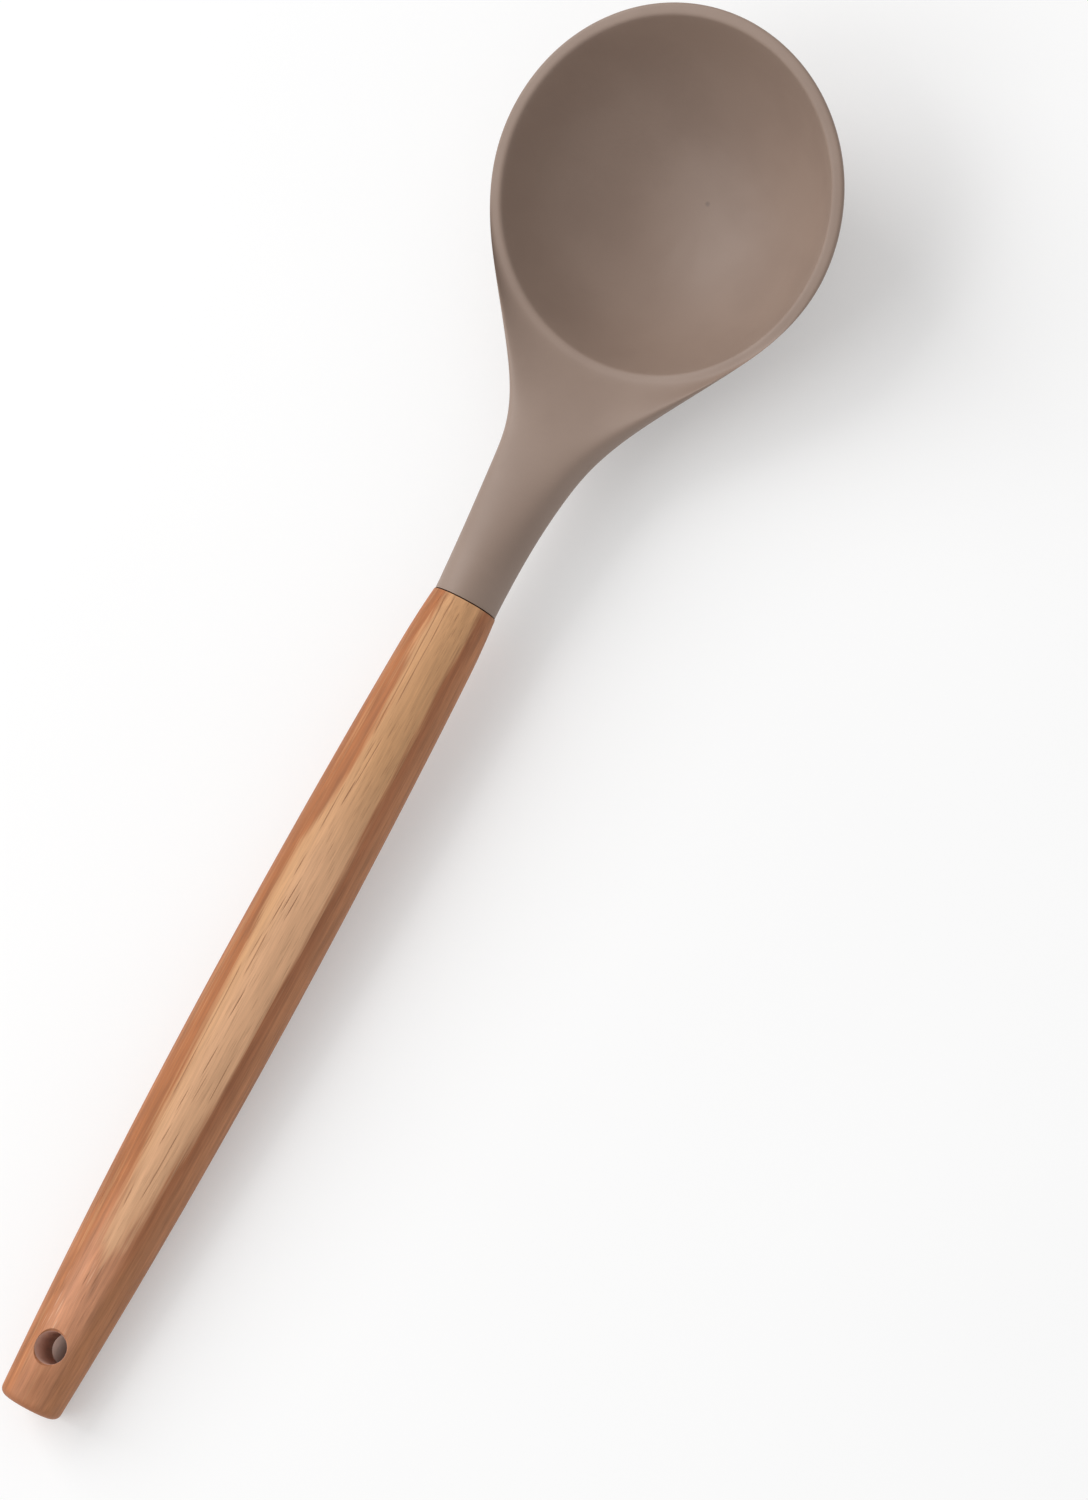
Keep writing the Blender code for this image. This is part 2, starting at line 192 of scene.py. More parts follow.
class LadleHandleSizes(bpy.types.PropertyGroup):
    """Turned wooden handle"""
    long: length("Length", "Joint to butt", 200.5)
    joint_gap: length("Joint gap", "Glue line between silicone and wood", 0.3)
    joint: length("Joint radius", "Wood at the joint", 7.65)
    roll: length("Shoulder roll", "Extra narrowing just behind the joint", 0.5)
    shoulder: length("Shoulder length", "Length of that narrowing", 15.0)
    belly: length("Belly radius", "Thickest place", 10.0)
    belly_at: share("Belly place", "Distance of the belly from the joint over the length", 0.475)
    butt: length("Butt radius", "Before its edge is rounded", 7.1)
    butt_round: length("Butt edge", "Edge radius at the butt", 1.8)
    socket: length("Socket radius", "Bore for tang and glue", 4.9)
    socket_deep: length("Socket depth", "Depth of that bore", 38.0)
    hole: length("Hole radius", "Hanging hole", 3.6)
    hole_ease: length("Hole edge", "Eased edge of the hanging hole", 0.25)
    around: IntProperty(name="Around", description="Faces round the handle", default=128, min=32, max=256)


class LadleFinish(bpy.types.PropertyGroup):
    """Colours of the materials"""
    silicone: tint("Silicone", "Taupe silicone", 0.285, 0.205, 0.162)
    silicone_deep: tint("Silicone shade", "Slightly deeper patches in the moulding", 0.265, 0.189, 0.149)
    gate_mark: tint("Gate mark", "Small mark left in the bowl by the mould", 0.13, 0.10, 0.085)
    # Pale wood is laid in towards the brown edge as painted fill light; golden wood takes its place towards
    # the warm edge and the joint
    pale_wood: tint("Pale wood", "Early growth, facing up", 0.705, 0.402, 0.228)
    golden_wood: tint("Golden wood", "Early growth near the warm edge and the joint", 0.570, 0.303, 0.141)
    rosy_wood: tint("Rosy wood", "Between the pale growth and the butt", 0.585, 0.270, 0.150)
    warm_wood: tint("Warm wood", "Beside the pale growth, towards one edge", 0.370, 0.131, 0.045)
    brown_wood: tint("Brown wood", "Beside the pale growth, towards the other edge", 0.414, 0.177, 0.081)
    dark_wood: tint("Dark wood", "Late growth along the pale layer", 0.352, 0.135, 0.060)
    pore: tint("Pores", "Open pores along the grain", 0.230, 0.095, 0.042)
    fleck: tint("Flecks", "Bright flecks along the grain", 0.740, 0.450, 0.300)
    drilled: tint("Drilled wood", "Wall of the hanging hole", 0.690, 0.470, 0.390)
    nylon: tint("Core", "Filled nylon core", 0.050, 0.050, 0.052)
    glue: tint("Glue", "Cured adhesive", 0.750, 0.680, 0.500)


class LadleStage(bpy.types.PropertyGroup):
    """Table, light and camera"""
    table: tint("Table", "Plain pale table", 0.96, 0.96, 0.96)
    table_glow: share("Table white", "Share of plain white seen in the table by the ladle", 0.31)
    # Painted shade: colour laid on the table under the butt end, beside the foot of the hanging hole
    painted_shade: tint("Nook", "Table in the shade under the hanging hole", 0.40, 0.30, 0.26)
    sky: FloatProperty(name="Fill light", description="Even light from all round", default=0.54, min=0.0)
    key: FloatProperty(name="Key light", description="Soft lamp on the left", default=34.0, unit="POWER")
    key_place: spot_in_room("Key place", "Where the soft lamp on the left hangs", -1.77, 0.25, 1.6)
    key_size: length("Key size", "Side of the soft lamp on the left", 1900.0)
    top: FloatProperty(name="Top light", description="Soft lamp beyond the butt", default=11.5, unit="POWER")
    top_place: spot_in_room("Top place", "Where the soft lamp beyond the butt hangs", -0.85, -1.2, 1.9)
    top_size: length("Top size", "Side of the soft lamp beyond the butt", 1300.0)
    lens: FloatProperty(name="Lens", description="Focal length on a 36 mm high sensor", default=91.2,
                        subtype="DISTANCE_CAMERA")
    eye: spot_in_room("Camera place", "Where the camera stands, from the joint",
                      0.331772, -0.100443, 0.773415)
    turn: FloatVectorProperty(name="Camera turn", description="How the camera is turned against the handle",
                              default=(0.954215, 0.089954, 0.165980, 0.232019), size=4,
                              subtype="QUATERNION")


# Shader sums


class Val:
    """Socket of a finish, so that sums on it read as sums."""

    def __init__(self, finish, socket):
        self.finish = finish
        self.socket = socket

    def sum(self, operation, first, second=None):
        values = {0: first}
        if second is not None:
            values[1] = second
        return self.finish.node("ShaderNodeMath", {"operation": operation}, values)

    def __add__(self, other):
        return self.sum("ADD", self, other)

    def __radd__(self, other):
        return self.sum("ADD", other, self)

    def __sub__(self, other):
        return self.sum("SUBTRACT", self, other)

    def __rsub__(self, other):
        return self.sum("SUBTRACT", other, self)

    def __mul__(self, other):
        return self.sum("MULTIPLY", self, other)

    def __rmul__(self, other):
        return self.sum("MULTIPLY", other, self)

    def __truediv__(self, other):
        return self.sum("DIVIDE", self, other)

    def __rtruediv__(self, other):
        return self.sum("DIVIDE", other, self)

    def size(self):
        return self.sum("ABSOLUTE", self)

    def most(self, other):
        return self.sum("MAXIMUM", self, other)

    def between(self, low, high):
        """0 below low and 1 above high, smooth on the way."""
        settings = {"interpolation_type": "SMOOTHSTEP"}
        values = {"Value": self, "From Min": low, "From Max": high}
        return self.finish.node("ShaderNodeMapRange", settings, values)


class Nodes:
    """Node tree, filled by one call for each node."""

    def __init__(self, tree):
        self.tree = tree

    def node(self, kind, settings, values, out=0):
        """A node of a kind, with its settings and the values or links of its sockets."""
        node = self.tree.nodes.new(kind)
        for key, value in settings.items():
            setattr(node, key, value)
        for key, value in values.items():
            self.feed(node.inputs[key], value)
        return Val(self, node.outputs[out])

    def feed(self, socket, value):
        if isinstance(value, Val):
            self.tree.links.new(value.socket, socket)
        elif socket.type == "RGBA" and len(value) == 3:
            socket.default_value = (*value, 1.0)
        else:
            socket.default_value = value

    def seen(self):
        """1 where the camera looks, also by way of a gloss or through glass."""
        rays = [self.node("ShaderNodeLightPath", {}, {}, out=name)
                for name in ("Is Camera Ray", "Is Glossy Ray", "Is Transmission Ray")]
        return rays[0].most(rays[1]).most(rays[2])

    def finish_with(self, output, shader):
        self.feed(self.tree.nodes[output].inputs["Surface"], shader)


class Finish(Nodes):
    """Material of one piece, with its node tree."""

    def __init__(self, name):
        self.material = bpy.data.materials.new(name)
        self.material.use_nodes = True
        super().__init__(self.material.node_tree)
        self.shader = self.tree.nodes["Principled BSDF"]

    def spot(self):
        """Place in the frame, in metres."""
        return self.node("ShaderNodeTexCoord", {}, {}, out="Object")

    def in_millimetres(self, vector):
        return self.node("ShaderNodeVectorMath", {"operation": "SCALE"}, {0: vector, "Scale": 1 / MM})

    def offset(self, vector, origin):
        return self.node("ShaderNodeVectorMath", {"operation": "SUBTRACT"}, {0: vector, 1: origin})

    def reach(self, vector):
        """Length of a vector."""
        return self.node("ShaderNodeVectorMath", {"operation": "LENGTH"}, {0: vector}, out="Value")

    def stretched(self, vector, across, along, up):
        values = {0: vector, 1: (across, along, up)}
        return self.node("ShaderNodeVectorMath", {"operation": "MULTIPLY"}, values)

    def place(self):
        """Place in millimetres from the middle of the joint, in the handle's own directions."""
        joint = ladle_pose(bpy.context.scene.ladle_handle).translation
        values = {"Vector": self.offset(self.spot(), joint), "Angle": -handle_slope()}
        turned = self.node("ShaderNodeVectorRotate", {"rotation_type": "X_AXIS"}, values)
        return self.in_millimetres(turned)

    def axes(self, vector):
        return [self.node("ShaderNodeSeparateXYZ", {}, {0: vector}, out=axis) for axis in "XYZ"]

    def noise(self, vector, scale, detail=2.0, rough=0.5):
        values = {"Vector": vector, "Scale": scale, "Detail": detail, "Roughness": rough}
        return self.node("ShaderNodeTexNoise", {}, values)

    def cells(self, vector, scale):
        """Distance from the nearest of many scattered points."""
        return self.node("ShaderNodeTexVoronoi", {"feature": "F1"}, {"Vector": vector, "Scale": scale})

    def mix(self, factor, first, second, blend="MIX"):
        settings = {"data_type": "RGBA", "blend_type": blend}
        values = {MIX_FACTOR: factor, MIX_FIRST: first, MIX_SECOND: second}
        return self.node("ShaderNodeMix", settings, values, out=MIX_RESULT)

    def tinted(self, colour, value):
        """Colour made lighter or darker by a value."""
        grey = self.node("ShaderNodeCombineColor", {}, {0: value, 1: value, 2: value})
        return self.mix(1.0, colour, grey, "MULTIPLY")

    def bump(self, height, distance, strength):
        values = {"Strength": strength, "Distance": distance, "Height": height}
        return self.node("ShaderNodeBump", {}, values)

    def surface(self, **values):
        for key, value in values.items():
            self.feed(self.shader.inputs[key.replace("_", " ")], value)
        return self.material


class Wood(Finish):
    """Wood, sawn flat: a pale growth layer breaks out along the top and runs to a point near the butt."""

    def __init__(self, name):
        super().__init__(name)
        self.at = self.place()
        across, self.along, up = self.axes(self.at)
        self.height = across * math.sin(FACE_TURN) + up * math.cos(FACE_TURN)
        self.side = across * math.cos(FACE_TURN) - up * math.sin(FACE_TURN)
        self.warm_edge = 1 - self.side.between(-1.0, 3.0)
        self.brown_edge = self.side.between(-1.0, 5.5)
        turn = {"Vector": self.at, "Angle": GRAIN_TURN}
        self.grain = self.node("ShaderNodeVectorRotate", {"rotation_type": "Z_AXIS"}, turn)
        self.fibre = self.figure(3.4, 0.07, detail=3.0, rough=0.62)
        self.ripple = self.figure(0.9, 0.028, detail=3.0, rough=0.6)

    def figure(self, across, along, detail=2.0, rough=0.5):
        """Noise drawn out along the handle, given how fine it is across and along."""
        return self.noise(self.stretched(self.at, across, along, across), 1.0, detail, rough)

    def dots(self, across, along, core, rim):
        """Dots drawn out along the grain, 1 in their core and 0 beyond their rim."""
        return 1 - self.cells(self.stretched(self.grain, across, along, across), 1.0).between(core, rim)

    def towards_joint(self, start, slope):
        """Rise from a place along the handle on towards the joint."""
        return (self.along - start).most(0.0) * slope

    def towards_butt(self, start, slope):
        """Rise from a place along the handle on towards the butt."""
        return (start - self.along).most(0.0) * slope

    def bites(self):
        """Depth of the warm wood that bites into the pale layer."""
        total = 0.0
        for middle, half, deep in WARM_BITES:
            reach = (self.along - middle) / half
            total = (1 - reach * reach).most(0.0) * deep + total
        return total * (1 - self.side.between(-6.0, 1.0))

    def layers(self):
        """Height of the surface over the foot of the pale layer, and a mask of all pale wood."""
        slow = self.figure(0.10, 0.022)
        hair = self.figure(2.6, 0.05)
        waver = (slow - 0.5) * 1.0 + (self.ripple - 0.5) * 1.6 + (hair - 0.5) * 1.1
        widening = self.towards_joint(*PALE_WIDENS)
        widening = widening + self.towards_joint(*PALE_FLARES) * self.side.between(-7.0, 3.0)
        layer = self.height - PALE_FROM + widening - self.towards_butt(*PALE_POINT) - self.bites() + waver
        under = (waver - self.height - PALE_UNDER).between(-0.5, 0.6) * 0.7
        return layer, layer.between(-0.6, 0.7).most(under)

    def ground(self, colours, layer, pale):
        """Colour of the growth layers, before fibres and pores, with painted light that makes the pale layer
        paler towards the brown edge.
        """
        late = (1 - (0 - layer).between(0.4, 3.4)) * self.brown_edge
        near_butt = 1 - self.along.between(-172.0, -138.0)
        middle = (0.15 + self.side.between(-6.0, -2.5) * 0.85) * (1 - self.side.between(2.5, 5.5))
        rosy = near_butt * middle * (0.55 + self.along.between(-194.0, -176.0) * 0.45)
        vein = self.figure(1.3, 0.016).between(0.53, 0.66)
        # Painted fill light: the pale layer turns from golden wood to paler wood towards the brown edge,
        # less so near the joint, to even out the shading across the handle
        painted_fill = self.side.between(-6.0, 0.0) * (1 - self.along.between(-75.0, -35.0) * 0.8)
        colour = self.mix(vein * 0.3, colours.warm_wood, colours.golden_wood)
        colour = self.mix(self.brown_edge, colour, colours.brown_wood)
        colour = self.mix(late, colour, colours.dark_wood)
        colour = self.mix(rosy, colour, colours.rosy_wood)
        return self.mix(pale, colour, self.mix(painted_fill, colours.golden_wood, colours.pale_wood))

    def tone(self, pale):
        """Lighter and darker fibres, streaks and patches about 0, calmer in the pale wood."""
        streak = self.figure(1.0, 0.03, detail=3.0)
        mottle = self.figure(0.5, 0.09)
        edges = 1 - pale * 0.55
        return (self.fibre - 0.5) * 0.5 + (streak - 0.5) * edges * 0.75 + (mottle - 0.5) * edges * 0.5

    def hairline(self, start, stop, first, last):
        """Fine dark line between two places along the handle, broken up by the fibres."""
        slope = (last - first) / (stop - start)
        middle = (self.along - start) * slope + first + (self.ripple - 0.5) * 0.9
        near = 1 - (self.side - middle).size().between(0.02, 0.20)
        begun = self.along.between(start - 1.0, start + 2.0)
        ended = self.along.between(stop - 2.0, stop + 1.0)
        return near * begun * (1 - ended) * (0.35 + self.fibre * 0.9)

    def pores(self):
        """Open pores with the fine dark lines, and smaller specks."""
        crowd = self.figure(0.14, 0.028)
        pore = self.dots(1.6, 0.055, 0.12, 0.28) * crowd.between(0.46, 0.56) * (0.3 + self.warm_edge * 0.7)
        for line in HAIRLINES:
            pore = pore.most(self.hairline(*line))
        speck = self.dots(3.0, 0.12, 0.14, 0.32) * crowd.between(0.36, 0.54)
        return pore, speck

    def flecks(self):
        """Bright flecks at the warm edge near the butt."""
        near_butt = self.along.between(-192.0, -180.0) * (1 - self.along.between(-172.0, -158.0))
        edge = self.warm_edge * self.side.between(-6.0, -4.0)
        return self.dots(1.7, 0.075, 0.12, 0.32) * near_butt * edge

    def butt_end(self, handle):
        """1 on the face of the butt."""
        butt = -handle.long / MM
        return 1 - self.along.between(butt + 0.3, butt + 2.2)

    def hole_wall(self, handle):
        """1 on the wall of the hanging hole."""
        values = {0: self.offset(self.at, drill_centre(handle) / MM), 1: drill_axis()}
        lever = self.node("ShaderNodeVectorMath", {"operation": "CROSS_PRODUCT"}, values)
        hole = handle.hole / MM
        return 1 - self.reach(lever).between(hole + 0.02, hole + 0.10)


# Materials


def silicone_finish(colours, head):
    """Satin silicone: fine mould grain, faint cloudiness, a gate mark in the bowl."""
    finish = Finish("taupe_silicone")
    place = finish.place()
    cloud = finish.noise(place, 0.055, 3.0)
    grain = finish.noise(place, 3.2, 2.0, 0.6)
    fine = finish.noise(place, 9.0, 1.0)
    gate = lip_point(head, 0.0, GATE_AHEAD, -head.depth) / MM
    mark = 1 - finish.reach(finish.offset(place, gate)).between(0.25, 0.85)
    colour = finish.mix(cloud.between(0.35, 0.7), colours.silicone, colours.silicone_deep)
    colour = finish.tinted(colour, 0.96 + grain * 0.08)
    colour = finish.mix(mark * 0.45, colour, colours.gate_mark)
    height = grain * 0.5 + fine * 0.25 - mark * 1.5
    rough = 0.50 + (grain - 0.5) * 0.16 + (cloud - 0.5) * 0.12
    return finish.surface(Base_Color=colour, Roughness=rough, Specular_IOR_Level=0.42,
                          Normal=finish.bump(height, 0.06 * MM, 0.55))


def wood_finish(colours, handle):
    """Oiled wood with its growth layers, pores and flecks, darker at the butt and lighter in the hole; its
    pale layer carries painted light towards the brown edge.
    """
    wood = Wood("oiled_wood")
    layer, pale = wood.layers()
    pore, speck = wood.pores()
    fleck = wood.flecks()
    inside = wood.hole_wall(handle)
    colour = wood.tinted(wood.ground(colours, layer, pale), 1 + wood.tone(pale))
    colour = wood.mix(pore * 0.75, colour, colours.pore)
    colour = wood.mix(speck * 0.24, colour, colours.pore)
    colour = wood.mix(fleck * 0.6, colour, colours.fleck)
    colour = wood.mix(wood.butt_end(handle) * 0.7, colour, colours.dark_wood)
    colour = wood.mix(inside * 0.9, colour, colours.drilled)
    height = wood.fibre * 0.5 - pore * 1.2 - speck * 0.4 + fleck * 0.3
    rough = 0.52 + (wood.fibre - 0.5) * 0.2 + pore * 0.15 + inside * 0.3
    return wood.surface(Base_Color=colour, Roughness=rough, Specular_IOR_Level=0.22,
                        Normal=wood.bump(height, 0.10 * MM, 0.5))


def nylon_finish(colours):
    """Glass-filled nylon with a speckled skin."""
    finish = Finish("core_nylon")
    place = finish.place()
    speckle = finish.noise(place, 2.5, 3.0, 0.7)
    flow = finish.noise(finish.stretched(place, 0.6, 0.08, 0.6), 1.0, 2.0)
    colour = finish.tinted(colours.nylon, 0.75 + speckle * 0.5)
    return finish.surface(Base_Color=colour, Roughness=0.42 + flow * 0.2,
                          Normal=finish.bump(speckle, 0.05 * MM, 0.5))


def glue_finish(colours):
    """Cured adhesive, cloudy with small bubbles."""
    finish = Finish("cured_glue")
    place = finish.place()
    cloud = finish.noise(place, 0.35, 3.0)
    bubble = 1 - finish.cells(place, 0.9).between(0.12, 0.3)
    colour = finish.tinted(colours.glue, 0.7 + cloud * 0.45 + bubble * 0.1)
    return finish.surface(Base_Color=colour, Roughness=0.25 + cloud * 0.2,
                          Normal=finish.bump(cloud + bubble, 0.10 * MM, 0.5))


def table_finish(stage):
    """Plain pale table that the camera sees as white, with the ladle's shadow left on it, and a painted
    shade under the butt end beside the foot of the hanging hole.
    """
    finish = Finish("pale_table")
    place = finish.in_millimetres(finish.spot())
    tone = finish.noise(place, 0.01, 2.0)
    axis = Vector(HOLE["axis"])
    foot = (Vector(HOLE["pos_m"]) - axis * (HOLE["pos_m"][2] / axis.z)) / MM
    offset = finish.offset(place, foot - Vector((SHADE_ASIDE, 0.0, 0.0)))
    # Painted shade: beside the foot of the hanging hole the table takes the shade colour and loses its white
    clear = finish.reach(finish.stretched(offset, 1.0, SHADE_SQUEEZE, 1.0)).between(*SHADE_EDGE)
    far = finish.reach(place).between(*FAR_TABLE)
    colour = finish.tinted(stage.table, 0.985 + tone * 0.03)
    colour = finish.mix(clear, stage.painted_shade, colour)
    finish.surface(Base_Color=colour, Roughness=0.9, Specular_IOR_Level=0.0)
    white = finish.node("ShaderNodeEmission", {}, {"Color": WHITE})
    plain = Val(finish, finish.shader.outputs[0])
    glow = (stage.table_glow + far * (1 - stage.table_glow)) * clear
    both = finish.node("ShaderNodeMixShader", {}, {0: finish.seen() * glow, 1: plain, 2: white})
    finish.finish_with("Material Output", both)
    return finish.material


# Shapes, in the handle's frame: origin in the middle of the joint, +Y to the bowl, +Z up


def handle_slope():
    """Angle by which the handle's line rises from the butt."""
    axis = Vector(BUTT["axis"])
    return math.atan2(-axis.z, -axis.y)


def ladle_pose(handle):
    """Where the handle's frame lies, from the butt face of the frame."""
    origin = Vector(BUTT["pos_m"]) - Vector(BUTT["axis"]) * handle.long
    return Matrix.Translation(origin) @ Matrix.Rotation(handle_slope(), 4, "X")


def drill_axis():
    back = Matrix.Rotation(-handle_slope(), 3, "X")
    return (back @ Vector(HOLE["axis"])).normalized()


def drill_centre(handle):
    return ladle_pose(handle).inverted() @ Vector(HOLE["pos_m"])


def lip_point(head, across, along, height):
    """Point given across, along and above the lip plane."""
    y = head.ahead + along * math.cos(head.tilt) - height * math.sin(head.tilt)
    z = head.above + along * math.sin(head.tilt) + height * math.cos(head.tilt)
    return Vector((across, y, z))


def cage_gain(step):
    """How far points set at a step of angle stand out, so that smoothing brings them back to the circle."""
    return 3 / (2 + math.cos(step))


def cap_cage(radius, centre, top, shares):
    """Cage points of a cap from its bottom up, short of its top."""
    angles = [0.0] + [top * part for part in shares] + [top]
    points = []
    for i in range(len(angles) - 1):
        step = (angles[i + 1] - angles[i - 1]) / 2 if i else angles[1]
        grown = radius * cage_gain(step)
        points.append((grown * math.sin(angles[i]), centre - grown * math.cos(angles[i])))
    return points


def bowl_profile(head):
    """Cage profile from the inside bottom over the lip to the outside bottom.

    With it come the ring of the lip's outer edge, counted without the bottom point, and the height of the
    outside's centre.
    """
    lip = head.mouth + head.lip_width
    deep = head.depth + head.floor_wall
    inner = (head.mouth ** 2 + head.depth ** 2) / (2 * head.depth)
    outer = (lip ** 2 + deep ** 2) / (2 * deep)
    inner_mid = inner - head.depth
    outer_mid = outer - deep
    inner_top = math.acos(inner_mid / inner)
    outer_top = math.acos((outer_mid - head.lip_rise) / outer)
    points = cap_cage(inner, inner_mid, inner_top, INNER_RINGS)
    for angle in (inner_top - head.lip_corner / inner, inner_top):
        points.append((inner * math.sin(angle), inner_mid - inner * math.cos(angle)))
    points.append((head.mouth + head.lip_round, head.lip_rise * head.lip_round / head.lip_width))
    ring = len(points) - 1
    points.append((outer * math.sin(outer_top), outer_mid - outer * math.cos(outer_top)))
    points += reversed(cap_cage(outer, outer_mid, outer_top, OUTER_RINGS))
    return points, ring, outer_mid


def neck_section(head, part):
    """Half width, half height and middle height of the neck at a share of its length."""
    half_width = head.neck + head.flare * part ** WIDEN_POWER
    half_height = head.neck + (head.root - head.neck) * part ** THIN_POWER
    middle = head.arch * math.sin(math.pi * part) - head.drop * part ** SINK_POWER
    return half_width, half_height, middle


def flat_topped(angle, square):
    """Place on a round section whose upper half is squared up."""
    across = math.sin(angle)
    up = math.cos(angle)
    if up <= 0:
        return across, up
    power = 2 / (2 + square)
    return math.copysign(abs(across) ** power, across), up ** power


def bowl_cage(bm, head, profile, ring):
    """Rings of the bowl's cage, with faces between them except where the neck opens."""
    gain = cage_gain(2 * math.pi / COLUMNS)
    turn = [2 * math.pi * j / COLUMNS for j in range(COLUMNS)]
    rings = []
    for radius, height in profile[1:-1]:
        wide = radius * gain
        places = [lip_point(head, wide * math.sin(a), -wide * math.cos(a), height) for a in turn]
        rings.append([bm.verts.new(place) for place in places])
    inside = bm.verts.new(lip_point(head, 0.0, 0.0, profile[0][1]))
    outside = bm.verts.new(lip_point(head, 0.0, 0.0, profile[-1][1]))
    for k in range(len(rings) - 1):
        for j in range(COLUMNS):
            if k in (ring, ring + 1) and j in BACK:
                continue
            n = (j + 1) % COLUMNS
            bm.faces.new((rings[k][j], rings[k][n], rings[k + 1][n], rings[k + 1][j]))
    for j in range(COLUMNS):
        n = (j + 1) % COLUMNS
        bm.faces.new((inside, rings[0][n], rings[0][j]))
        bm.faces.new((outside, rings[-1][j], rings[-1][n]))
    return rings


def shape_back(head, outer_mid, inner, top, side, under):
    """Move the rings at the bowl's back, so that lip and wall run smoothly into the neck."""
    centre = lip_point(head, 0.0, 0.0, outer_mid)
    for corner in (under[2], under[-2]):
        corner.co += (corner.co - centre).normalized() * head.root_lift
    upright = lip_point(head, 0.0, 0.0, 1.0) - lip_point(head, 0.0, 0.0, 0.0)
    for corner in (side[2], side[-2]):
        corner.co += upright * head.ledge
    for j, part in LIFTED:
        inner[j].co += upright * head.back_lift * part * LIFTED_INSIDE
        top[j].co += upright * head.back_lift * part


def neck_cage(bm, head, loop, crease):
    """Neck from the opening in the bowl's cage to its closed end at the joint, which keeps a sharp edge."""
    gain = cage_gain(2 * math.pi / COLUMNS)
    reach = head.ahead - (head.mouth + head.lip_width) * math.cos(head.tilt)
    for part in NECK_RINGS:
        half_width, half_height, middle = neck_section(head, part)
        square = head.square * part ** FLATTEN_POWER
        row = []
        for i in range(COLUMNS):
            across, up = flat_topped(2 * math.pi * (i - 2) / COLUMNS, square)
            place = (half_width * gain * across, part * reach, middle + half_height * gain * up)
            row.append(bm.verts.new(place))
        for i in range(COLUMNS):
            n = (i + 1) % COLUMNS
            bm.faces.new((loop[i], loop[n], row[n], row[i]))
        loop = row
    for edge in bm.faces.new(loop).edges:
        edge[crease] = 1.0
        edge.smooth = False


def head_mesh(head):
    """Closed cage of bowl and neck: two rows of faces under the lip open at the back into the neck."""
    profile, ring, outer_mid = bowl_profile(head)
    bm = bmesh.new()
    crease = bm.edges.layers.float.new("crease_edge")
    rings = bowl_cage(bm, head, profile, ring)
    inner, top, side, under = rings[ring - 1:ring + 3]
    shape_back(head, outer_mid, inner, top, side, under)
    loop = [top[j] for j in (-2, -1, 0, 1, 2)] + [side[2]]
    loop += [under[j] for j in (2, 1, 0, -1, -2)] + [side[-2]]
    neck_cage(bm, head, loop, crease)
    bmesh.ops.recalc_face_normals(bm, faces=bm.faces[:])
    return mesh_from(bm, "silicone_bowl")


def handle_radius(handle, distance):
    """Barrel of the handle at a distance behind the joint."""
    belly = handle.belly_at * handle.long
    if distance > belly:
        part = (distance - belly) / (handle.long - belly)
        return handle.belly - (handle.belly - handle.butt) * part ** 2
    part = (belly - distance) / belly
    radius = handle.belly - (handle.belly - handle.joint - handle.roll) * part ** 2
    return radius - handle.roll * max(0.0, 1 - distance / handle.shoulder) ** 2


def handle_outline(handle):
    """Radius and distance behind the joint: socket floor, socket wall, barrel, rounded edge, butt."""
    points = [(0.0, handle.socket_deep), (handle.socket, handle.socket_deep)]
    points.append((handle.socket, handle.joint_gap))
    edge_from = handle.long - handle.butt_round
    hole = drill_centre(handle).y
    distance = handle.joint_gap
    while distance < edge_from - CLEAR_OF_EDGE:
        points.append((handle_radius(handle, distance), distance))
        near_hole = abs(distance + hole) < FINE_REACH
        distance += FINE_STEP if near_hole else ROW_STEP
    rim = handle_radius(handle, edge_from) - handle.butt_round
    for step in range(EDGE_STEPS + 1):
        a = math.pi / 2 * step / EDGE_STEPS
        points.append((rim + handle.butt_round * math.cos(a), edge_from + handle.butt_round * math.sin(a)))
    for part in BUTT_RINGS:
        points.append((rim * part, handle.long))
    return points


def turned_mesh(name, points, around):
    """Outline of radius and distance, turned about the handle's line."""
    bm = bmesh.new()
    turn = [2 * math.pi * i / around for i in range(around)]
    rows = []
    for radius, distance in points:
        if radius == 0.0:
            rows.append([bm.verts.new((0.0, -distance, 0.0))])
            continue
        places = [(radius * math.sin(a), -distance, radius * math.cos(a)) for a in turn]
        rows.append([bm.verts.new(place) for place in places])
    for near, far in zip(rows, rows[1:]):
        for i in range(around):
            n = (i + 1) % around
            if len(near) == 1:
                bm.faces.new((near[0], far[i], far[n]))
            elif len(far) == 1:
                bm.faces.new((near[i], near[n], far[0]))
            else:
                bm.faces.new((near[i], near[n], far[n], far[i]))
    bmesh.ops.recalc_face_normals(bm, faces=bm.faces[:])
    return mesh_from(bm, name)


def drill_outline(handle):
    """Drill with flared ends that ease both mouths of the hole, as radius and height."""
    surface = handle_radius(handle, -drill_centre(handle).y)
    mouth = math.sqrt(surface ** 2 - handle.hole ** 2) - handle.hole_ease
    reach = 2 * surface - mouth
    flare = handle.hole + (reach - mouth) * DRILL_FLARE
    half = [(flare, reach), (handle.hole, mouth)]
    return [(0.0, reach), *half, *[(r, -z) for r, z in reversed(half)], (0.0, -reach)]


def mesh_from(bm, name):
    mesh = bpy.data.meshes.new(name)
    bm.to_mesh(mesh)
    bm.free()
    return mesh


def add_piece(name, mesh, pose):
    item = bpy.data.objects.new(name, mesh)
    bpy.context.scene.collection.objects.link(item)
    item.matrix_world = pose
    return item


def work_in(item):
    """Work a piece's modifiers and its pose into its mesh, so that its place is in its mesh."""
    bpy.context.view_layer.update()
    graph = bpy.context.evaluated_depsgraph_get()
    mesh = bpy.data.meshes.new_from_object(item.evaluated_get(graph))
    mesh.transform(item.matrix_world)
    item.modifiers.clear()
    item.data = mesh
    item.matrix_world = Matrix()
    return mesh


def smooth_faces(mesh):
    mesh.polygons.foreach_set("use_smooth", [True] * len(mesh.polygons))
    mesh.update()


def set_material(item, material):
    item.data.materials.clear()
    item.data.materials.append(material)


# Operators


